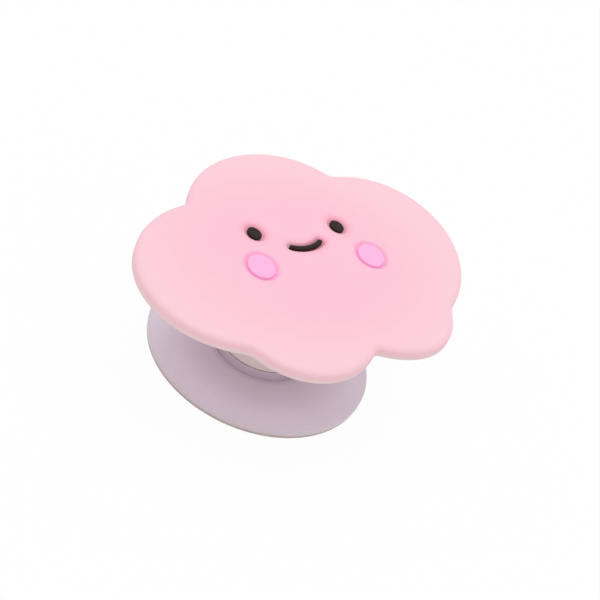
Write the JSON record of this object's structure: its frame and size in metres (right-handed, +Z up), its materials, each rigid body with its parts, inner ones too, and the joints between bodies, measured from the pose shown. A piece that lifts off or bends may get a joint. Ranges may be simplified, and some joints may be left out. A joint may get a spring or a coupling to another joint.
{
  "type": "phone grip",
  "caption": "Collapsible phone grip: round adhesive base, stepped folding stem and a soft cloud-shaped top with inlaid eyes, smile and blush cheeks.",
  "frame": {"origin": "centre of the adhesive pad's sticking face, on the stem's axis", "axes": "+Z up the stem, away from the phone; +X to the face's right and +Y to its top, as it is seen from above"},
  "size_m": [0.0632, 0.052, 0.024],
  "materials": {
    "adhesive": "matte foam pad with a tacky face",
    "lavender_plastic": "satin moulded",
    "stem_elastomer": "satin moulded elastomer",
    "plate_plastic": "satin moulded",
    "backing_vinyl": "soft matte vinyl",
    "cloud_vinyl": "soft satin vinyl",
    "dark_vinyl": "soft matte vinyl",
    "blush_vinyl": "soft satin vinyl"
  },
  "bodies": {
    "base": {"adhesive_pad": "adhesive", "base_plate": "lavender_plastic"},
    "stem": {"folding_stem": "stem_elastomer"},
    "top": {"top_plate": "plate_plastic", "cloud_backing": "backing_vinyl", "cloud_body": "cloud_vinyl", "eye_left": "dark_vinyl", "eye_right": "dark_vinyl", "smile": "dark_vinyl", "cheek_left": "blush_vinyl", "cheek_right": "blush_vinyl"}
  },
  "joints": [
    {"name": "swivel", "type": "hinge", "parent": "base", "child": "stem", "pos_m": [0, 0, 0.003], "axis": [0, 0, 1], "continuous": true},
    {"name": "collapse", "type": "slide", "parent": "stem", "child": "top", "axis": [0, 0, -1], "range_m": [0, 0.013], "deforming": ["folding_stem"]}
  ]
}
